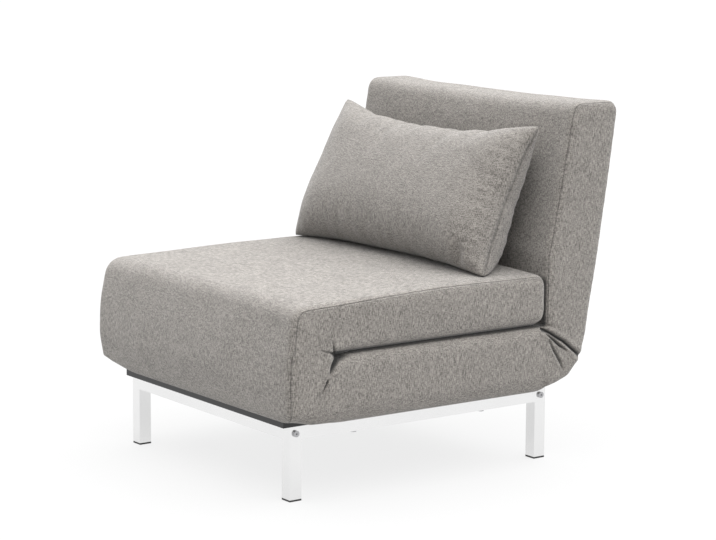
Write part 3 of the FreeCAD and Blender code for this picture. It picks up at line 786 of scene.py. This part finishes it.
    def pad_seat(self, skin: Skin) -> None:
        """Crowns the seat's top and swells its front.

        Args:
            skin: the skin, changed in place.
        """
        seat = (~skin.is_back) & (skin.z0 > self.fold_z)
        lift = np.clip((skin.z0 - self.fold_z) / (self.seat_level - self.fold_z), 0, 1) * seat
        skin.z += lift * (self.seat_top(skin.x0, skin.y0) - self.seat_level)
        up = np.clip((skin.z0 - 165) / 265, 0, 1)
        to_right = np.clip(skin.x0 / self.half_width, 0, 1)
        swell = np.sin(np.pi * up) * (1 - to_right ** 3)
        skin.y -= ease(-370, -432, skin.y0) * swell * self.front_swell

    def shape_sides(self, skin: Skin) -> None:
        """Bulges the sides and tucks the lower edges in, low at the sides and high at the front.

        Args:
            skin: the skin, changed in place.
        """
        outline = self.outline()
        inside = distance_to_path(skin.y0, skin.z0, np.vstack([outline, outline[:1]]))
        skin.x += skin.side * self.side_bulge * (1 - np.exp(-inside / 25.0)) * ease(350, 386, skin.out)
        under = ease(208, 174, skin.z0) * (~skin.is_back)
        front = ease(-370, -430, skin.y0)
        skin.x -= skin.side * self.tuck_in * under * ease(340, 388, skin.out)
        rise = (self.side_sag + self.front_rise) * front - self.side_sag
        skin.z += under * ease(345, 388, skin.out) * rise
        skin.z += under * front * self.left_rise * ease(-250, -388, skin.x0)

    def close_slits(self, skin: Skin) -> None:
        """Shuts the slits, least at the sides, and draws their lips in.

        Args:
            skin: the skin, changed in place.
        """
        shut = self.slit_half - self.slit_left
        close = shut * (1 - self.lip_opening * ease(356, 386, skin.out))
        before_rear = 1 - ease(250, 276, skin.y0)
        along = ease(self.inner_fold_y - 12, self.inner_fold_y + 16, skin.y0)
        flat = along * before_rear * (1 - ease(7, 60, np.abs(skin.z0 - self.fold_z)))
        below = skin.z0 < self.fold_z
        skin.z += np.where(below, close, np.where(skin.y0 < self.rear_split_y, -close, 0.0)) * flat
        seat = (~skin.is_back) & (skin.z0 > self.fold_z)
        behind = skin.y0 > self.rear_split_y
        upright = 1 - ease(7, 60, np.abs(skin.y0 - self.rear_split_y))
        skin.y += shut * upright * seat * ease(300, 323, skin.z0)
        skin.y -= shut * upright * behind * ease(312, 330, skin.z0) * (1 - ease(440, 520, skin.z0))
        recess = np.where(below, self.lip_recess * ease(290, 318, skin.z0),
                          self.upper_lip_recess * ease(336, 326, skin.z0))
        skin.x -= skin.side * along * ease(352, 388, skin.out) * before_rear * recess

    def pad_back(self, skin: Skin) -> None:
        """Crowns the back's front and rear, and dips its top in the middle.

        Args:
            skin: the skin, changed in place.
        """
        edge = skin.out / self.half_width
        skin.z += ease(735, 806, skin.z0) * (self.top_corner_rise * edge ** 2 - self.top_dip)
        plane = self.back_plane(skin.z0)
        crown = self.back_face(skin.x0, skin.z0) - plane
        skin.y += crown * skin.is_back * (1 - ease(5, 60, skin.y0 - plane))
        forward, rise = self.rear_lean
        rear = self.rear_foot[0] + forward * (skin.z0 - self.rear_foot[1]) / rise
        crown = self.back_crown * (1 - edge ** 2) * skin.is_back
        crown = crown * ease(320, 420, skin.z0) * ease(806, 740, skin.z0)
        skin.y += crown * ease(60, 10, rear - skin.y0)

    def unsettle(self, skin: Skin) -> None:
        """Adds long soft waves, so that no face is quite flat.

        Args:
            skin: the skin, changed in place.
        """
        waves = np.zeros(len(skin.x0))
        for step, (a, b, c, phase) in enumerate(self.wave_turns):
            waves += np.sin((a * skin.x0 + b * skin.y0 + c * skin.z0) * MM + phase + step) / 3.2
        waves *= self.unevenness * ease(4, 32, skin.slit_away) * ease(176, 200, skin.z0)
        skin.x += skin.normals[:, 0] * waves
        skin.y += skin.normals[:, 1] * waves
        skin.z += skin.normals[:, 2] * waves

    def crease(self, skin: Skin) -> None:
        """Presses the creases into the sides, and stores painted shade where the cloth lies deep in a crease
        or between the slit lips.

        Args:
            skin: the skin, changed in place.
        """
        depth = np.zeros(len(skin.x0))
        for fold in self.folds:
            added = fold.depth(skin.y0, skin.z0)
            depth = np.where(np.abs(added) > np.abs(depth), added, depth)
        depth *= ease(352, 384, skin.out)
        skin.x -= skin.side * depth
        upper_lip = (skin.z0 > self.fold_z) & (skin.y0 < self.rear_split_y)
        end = np.where(upper_lip, *self.lip_shade_end)
        # hidden: painted shade on the slit lips near the sides, fading away from the slit
        hidden = 1 - ease(0, 1, (skin.slit_away - self.lip_shade_start) / (end - self.lip_shade_start))
        hidden *= ease(self.inner_fold_y - 4, self.inner_fold_y + 14, skin.y0) * ease(354, 378, skin.out)
        hidden *= ease(434, 420, skin.z0)
        # Painted shade: darker the deeper the crease, and between the slit lips
        store(skin.mesh, "painted_fold_shade", np.maximum(np.clip(depth / 6.0, 0, 1), hidden))

    def clear_hinge(self, skin: Skin) -> None:
        """Moves points off the level where the cloth changes from the base to the upper section.

        Args:
            skin: the skin, changed in place.
        """
        level = (np.abs(skin.z - self.fold_z) < self.hinge_clear) & (skin.y0 < self.rear_split_y)
        way = np.where(skin.z0 >= self.fold_z, 1, -1)
        skin.z = np.where(level, self.fold_z + way * self.hinge_clear, skin.z)

    def drape(self, mesh: Mesh) -> None:
        """Moves the skin to its padded shape. In every ease, the first two numbers are places in mm.

        Args:
            mesh: the skin, changed in place.
        """
        skin = Skin(mesh)
        self.sort_points(skin)
        self.mark_seams(skin)
        self.pad_seat(skin)
        self.shape_sides(skin)
        self.close_slits(skin)
        self.pad_back(skin)
        self.unsettle(skin)
        self.crease(skin)
        self.clear_hinge(skin)
        skin.write()

    def piece(self, mesh: Mesh, region: Region, name: str) -> Object:
        """Takes one piece of the draped skin and closes it where it was parted.

        Args:
            mesh: the draped skin.
            region: the piece to keep.
            name: the new piece's name.
        Returns:
            The piece.
        """
        form = bmesh.new()
        form.from_mesh(mesh)
        layer = form.faces.layers.int["region"]
        other = [face for face in form.faces if face[layer] != region.value]
        bmesh.ops.delete(form, geom=other, context="FACES")
        rims = [edge for edge in form.edges if edge.is_boundary]
        for rim in rims:
            rim.smooth = False
        caps = bmesh.ops.holes_fill(form, edges=rims, sides=0)["faces"]
        bmesh.ops.triangulate(form, faces=caps)
        bmesh.ops.recalc_face_normals(form, faces=form.faces)
        return new_piece(name, form)

    def build(self) -> list[Object]:
        """Builds and dresses the seat, the gusset and the back, and hangs the back on its body.

        Returns:
            The three pieces.
        """
        skin = voxel_skin(self.solid(), self.voxel * MM)
        for _ in range(2):
            bmesh.ops.smooth_vert(skin, verts=skin.verts, factor=0.5, use_axis_x=True, use_axis_y=True,
                                  use_axis_z=True)
        self.refine(skin)
        self.part(skin)
        mesh = bpy.data.meshes.new("skin")
        skin.to_mesh(mesh)
        skin.free()
        self.drape(mesh)
        seat = self.piece(mesh, Region.SEAT, "seat_upholstery")
        gusset = self.piece(mesh, Region.GUSSET, "rear_gusset_cloth")
        back = self.piece(mesh, Region.BACK, "back_cushion")
        bpy.data.meshes.remove(mesh)
        cloth = self.finish.material()
        for made in (seat, gusset, back):
            made.data.materials.append(cloth)
        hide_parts("lower_cover", "lower_foam", "upper_cover", "upper_bed_foam", "upper_seat_foam",
                    "upper_edge_foam", "front_panel")
        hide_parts("rear_gusset")
        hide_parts("back_cover", "back_front_foam", "back_rear_foam", "back_edge_foam")
        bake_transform(seat)
        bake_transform(gusset)
        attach(back, Body.BACK.value)
        return [seat, gusset, back]


# Pillow

@dataclass
class Pillow:
    """The loose pillow: two sewn panels blown up by simulation, then leaned on the seat and the back.

    The panels are in metres and the rest is in millimetres.
    """

    upholstery: Upholstery
    half_width: float = 354.0
    mid_x: float = -10.0
    low: Pair = (94.0, 438.0)
    high: Pair = (246.0, 763.0)
    flat_size: Pair = (0.75, 0.42)
    cells: tuple[int, int] = (100, 56)
    start_height: float = 0.03
    pressure: float = 5.0
    frames: int = 26
    front_full: float = 82.0
    rear_full: float = 96.0
    shoulder: float = 120.0
    soft_shoulder: float = 174.0
    filled_share: float = 0.30
    low_heavier: float = 0.50
    pleat_depth: float = 1.5
    tuck_depth: float = 7.0
    tuck_place: Pair = (318.0, -172.0)
    tuck_reach: Pair = (13.0, 26.0)
    ear_growth: float = 0.035
    ear_reach: float = 46.0
    seat_gap: float = 1.6
    back_gap: float = 3.0
    pull: tuple[Pair, ...] = ((0.06, 0.10), (0.20, 0.45))
    # The pillow's cloth is the cover's melange made slightly darker, as painted shade
    finish: WovenFinish = WovenFinish("melange_pillow_painted_shade", dark=(0.079, 0.071, 0.064),
                                      light=(0.254, 0.236, 0.215))

    def panels(self) -> BMesh:
        """Two flat panels that share their rim, slightly apart in the middle.

        Returns:
            The panels in metres.
        """
        form = bmesh.new()
        for facing in (1, -1):
            made = bmesh.ops.create_grid(form, x_segments=self.cells[0], y_segments=self.cells[1], size=1.0)
            for vert in made["verts"]:
                u, v = vert.co.x, vert.co.y
                rise = (1 - u * u) * (1 - v * v) * self.start_height
                vert.co = Vector((u * self.flat_size[0] / 2, v * self.flat_size[1] / 2, facing * rise))
        bmesh.ops.remove_doubles(form, verts=form.verts, dist=1e-6)
        bmesh.ops.recalc_face_normals(form, faces=form.faces)
        return form

    def flat_places(self) -> ndarray:
        """Where the panels' points lie before the filling, one per row.

        Returns:
            The points.
        """
        form = self.panels()
        places = np.array([vert.co[:] for vert in form.verts])
        form.free()
        return places

    def blown_up(self) -> Mesh:
        """Fills the sewn panels by cloth simulation with inner pressure.

        Returns:
            The filled mesh, with its seam's distance stored.
        """
        piece = new_piece("pillow_panels", self.panels())
        start = positions(piece.data)
        from_rim = np.minimum(self.flat_size[0] / 2 - np.abs(start[:, 0]),
                              self.flat_size[1] / 2 - np.abs(start[:, 1])) / MM
        store(piece.data, "seam_across", from_rim * np.where(start[:, 2] < -1e-9, -1.0, 1.0))
        cloth = piece.modifiers.new("cloth", "CLOTH")
        settings = cloth.settings
        settings.quality = 6
        settings.mass = 0.2
        settings.tension_stiffness = 30.0
        settings.compression_stiffness = 8.0
        settings.shear_stiffness = 6.0
        settings.bending_stiffness = 0.12
        settings.use_pressure = True
        settings.uniform_pressure_force = self.pressure
        settings.effector_weights.gravity = 0.0
        cloth.collision_settings.use_collision = False
        cloth.point_cache.frame_start = 1
        cloth.point_cache.frame_end = self.frames
        for moment in range(1, self.frames + 1):
            bpy.context.scene.frame_set(moment)
        return finished_mesh(piece)

    def drawn_in(self, place: ndarray, flat: ndarray) -> ndarray:
        """Draws the filled outline back towards the flat one.

        Args:
            place: the filled pillow's points, one per row.
            flat: the same points before the filling.
        Returns:
            The new points.
        """
        drawn = place.copy()
        for axis, (toward_low, toward_high) in enumerate(self.pull):
            pull = np.where(flat[:, axis] < 0, toward_low, toward_high)
            drawn[:, axis] = flat[:, axis] + pull * (place[:, axis] - flat[:, axis])
        return drawn

    def fullness(self, thick: ndarray, flat: ndarray, rims: ndarray) -> ndarray:
        """How full the pillow is, from 1 in front and 0 at the seam to -1 at the rear.

        Args:
            thick: the filled thickness at each point, below 0 at the rear.
            flat: the points before the filling.
            rims: each point's distances to the side seams and to the end seams, in millimetres.
        Returns:
            The fullness of each point.
        """
        swell = np.where(thick > 0, thick / thick.max(), -thick / thick.min())
        full = swell * self.filled_share + np.where(thick > 0, 1, -1) * (1 - self.filled_share)
        soft = (flat[:, 1] < 0) & (thick > 0)
        for axis in (0, 1):
            shoulder = np.where(soft & (axis == 1), self.soft_shoulder, self.shoulder)
            full *= np.sqrt(1 - (1 - np.clip(rims[:, axis] / shoulder, 0, 1)) ** 2.5)
        return full

    def pleats(self, flat: ndarray, rims: ndarray, front: ndarray) -> ndarray:
        """The relief of the pleats along the seams, and of the tuck at a lower corner.

        Args:
            flat: the points before the filling.
            rims: each point's distances to the side seams and to the end seams, in millimetres.
            front: which points are on the front panel.
        Returns:
            The relief, where 1 is one pleat.
        """
        across, along = flat[:, 0] / MM, flat[:, 1] / MM
        side = np.sin(along / 5.2 + 2.0 * np.sin(along / 23.0)) * ease(0, 200, across)
        side *= np.exp(-((rims[:, 0] - 26) / 30) ** 2) * ease(0, 14, rims[:, 0]) * ease(0, 40, rims[:, 1])
        end = np.sin(across / 9.0 + 3.0 * np.sin(across / 47.0))
        end *= np.exp(-((rims[:, 1] - 22) / 24) ** 2) * ease(0, 14, rims[:, 1])
        tuck = np.exp(-((across - self.tuck_place[0]) / self.tuck_reach[0]) ** 2
                      - ((along - self.tuck_place[1]) / self.tuck_reach[1]) ** 2)
        return side + 0.6 * end - self.tuck_depth * tuck * front

    def settle(self, mesh: Mesh) -> None:
        """Puts the filled pillow in its place, flattened where it rests.

        Args:
            mesh: the filled pillow, changed in place.
        """
        flat = self.flat_places()
        place = self.drawn_in(positions(mesh), flat)
        reach_x = np.abs(place[:, 0]).max()
        corners = np.abs(place[:, 0]) > 0.97 * reach_x
        reach_y = np.abs(place[corners, 1]).max()
        share = (place[:, 1] / reach_y + 1) / 2
        rims = np.array(self.flat_size) / 2 / MM - np.abs(flat[:, :2]) / MM
        front = place[:, 2] > 0
        full = self.fullness(place[:, 2], flat, rims)
        out = full * np.where(front, self.front_full, self.rear_full)
        out += np.sign(full) * self.pleat_depth * self.pleats(flat, rims, front)
        out *= 1.0 + self.low_heavier * (0.5 - share)
        ear = 1.0 + self.ear_growth * np.exp(-(rims.sum(1) / self.ear_reach) ** 2)
        share = 0.5 + (share - 0.5) * ear
        low, high = np.array(self.low), np.array(self.high)
        along = high - low
        away = np.array([along[1], -along[0]]) / np.linalg.norm(along)
        x = self.mid_x + place[:, 0] / reach_x * self.half_width * ear
        y = low[0] + along[0] * share - away[0] * out
        z = low[1] + along[1] * share - away[1] * out
        z = np.maximum(z, self.upholstery.seat_top(x, y) + self.seat_gap)
        y = np.minimum(y, self.upholstery.back_face(x, z) - self.back_gap)
        mesh.vertices.foreach_set("co", (np.stack([x, y, z], 1) * MM).ravel())
        # No painted fold shade on the pillow
        store(mesh, "painted_fold_shade", np.zeros(len(x)))

    def build(self) -> Object:
        """Builds, dresses and hangs the pillow.

        Returns:
            The pillow.
        """
        mesh = self.blown_up()
        self.settle(mesh)
        form = bmesh.new()
        form.from_mesh(mesh)
        bpy.data.meshes.remove(mesh)
        bmesh.ops.recalc_face_normals(form, faces=form.faces)
        pillow = new_piece("pillow", form)
        finer = pillow.modifiers.new("finer", "SUBSURF")
        finer.levels = 1
        finer.render_levels = 1
        pillow.data.materials.append(self.finish.material())
        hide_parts("pillow_cover", "pillow_fill")
        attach(pillow, Body.PILLOW.value)
        return pillow


# Studio

@dataclass(frozen=True)
class Studio:
    """A pale floor, soft light and the camera of the photograph."""

    azimuth: float = 54.76
    elevation: float = 9.80
    roll: float = 0.19
    distance: float = 5.47363
    aim: Colour = (0.0, -0.049, 0.400)
    focal_pixels: float = 2410.24
    centre_pixels: Pair = (336.93, 278.15)
    picture: tuple[int, int] = (716, 540)
    floor_half: float = 60.0
    floor_colour: Colour = (0.07, 0.07, 0.07)
    floor_glow: float = 0.81
    sky: float = 1.0
    sun: float = 6.2
    sun_spread: float = 100.0
    sun_tip: float = 9.0
    sun_turn: float = 150.0

    def camera(self) -> Object:
        """Sets up the photograph's camera.

        Returns:
            The camera.
        """
        turn, rise, roll = (math.radians(v) for v in (self.azimuth, self.elevation, self.roll))
        back = Vector((math.sin(turn) * math.cos(rise), -math.cos(turn) * math.cos(rise), math.sin(rise)))
        right = Vector((math.cos(turn), math.sin(turn), 0))
        up = back.cross(right)
        tilted = right * math.cos(roll) + up * math.sin(roll)
        upright = up * math.cos(roll) - right * math.sin(roll)
        width, height = self.picture
        data = bpy.data.cameras.new("camera")
        data.sensor_width = 36.0
        data.lens = self.focal_pixels / width * data.sensor_width
        data.shift_x = (width / 2 - self.centre_pixels[0]) / width
        data.shift_y = (self.centre_pixels[1] - height / 2) / width
        camera = bpy.data.objects.new("camera", data)
        bpy.context.scene.collection.objects.link(camera)
        place = Vector(self.aim) + back * self.distance
        turned = Matrix((tilted, upright, back)).transposed().to_4x4()
        camera.matrix_world = Matrix.Translation(place) @ turned
        bpy.context.scene.camera = camera
        return camera

    def floor(self) -> Object:
        """Lays the floor, which isn't part of the chair.

        Returns:
            The floor.
        """
        form = bmesh.new()
        bmesh.ops.create_grid(form, x_segments=1, y_segments=1, size=self.floor_half)
        floor = new_piece("floor", form)
        material, graph, shader = new_material("floor_paint")
        point = graph.add("ShaderNodeTexCoord").outputs["Object"]
        tone = graph.maths("MULTIPLY_ADD", graph.noise(point, 0.6, 2.0), 0.02, 0.99)
        paint = graph.add("ShaderNodeVectorMath", {0: self.floor_colour, "Scale": tone}, operation="SCALE")
        graph.fill(shader, {"Base Color": paint.outputs[0], "Emission Color": (1.0, 1.0, 1.0, 1.0),
                            "Emission Strength": self.floor_glow, "Roughness": 0.9,
                            "Specular IOR Level": 0.1})
        floor.data.materials.append(material)
        return floor

    def lights(self) -> None:
        """Hangs a wide soft light overhead, in an even sky."""
        data = bpy.data.lights.new("overhead", "SUN")
        data.energy = self.sun
        data.angle = math.radians(self.sun_spread)
        lamp = bpy.data.objects.new("overhead", data)
        lamp.rotation_euler = (math.radians(self.sun_tip), 0, math.radians(self.sun_turn))
        bpy.context.scene.collection.objects.link(lamp)
        world = bpy.data.worlds.new("studio")
        world.use_nodes = True
        sky = world.node_tree.nodes["Background"]
        sky.inputs["Color"].default_value = (1.0, 1.0, 1.0, 1.0)
        sky.inputs["Strength"].default_value = self.sky
        bpy.context.scene.world = world
        bpy.context.scene.view_settings.view_transform = "Standard"


def main() -> None:
    """Builds every piece in order and reports each."""
    logging.basicConfig(level=logging.INFO, format="%(message)s", stream=sys.stdout)
    upholstery = Upholstery()
    for made in upholstery.build():
        log.info("%s: %d faces", made.name, len(made.data.polygons))
    pillow = Pillow(upholstery).build()
    log.info("%s: %d faces", pillow.name, len(pillow.data.polygons))
    dressed = Framework().dress()
    log.info("framework: %d nodes dressed", len(dressed))
    studio = Studio()
    studio.floor()
    studio.lights()
    camera = studio.camera()
    log.info("camera at %s", tuple(round(v, 3) for v in camera.location))


if __name__ == "__main__":
    main()
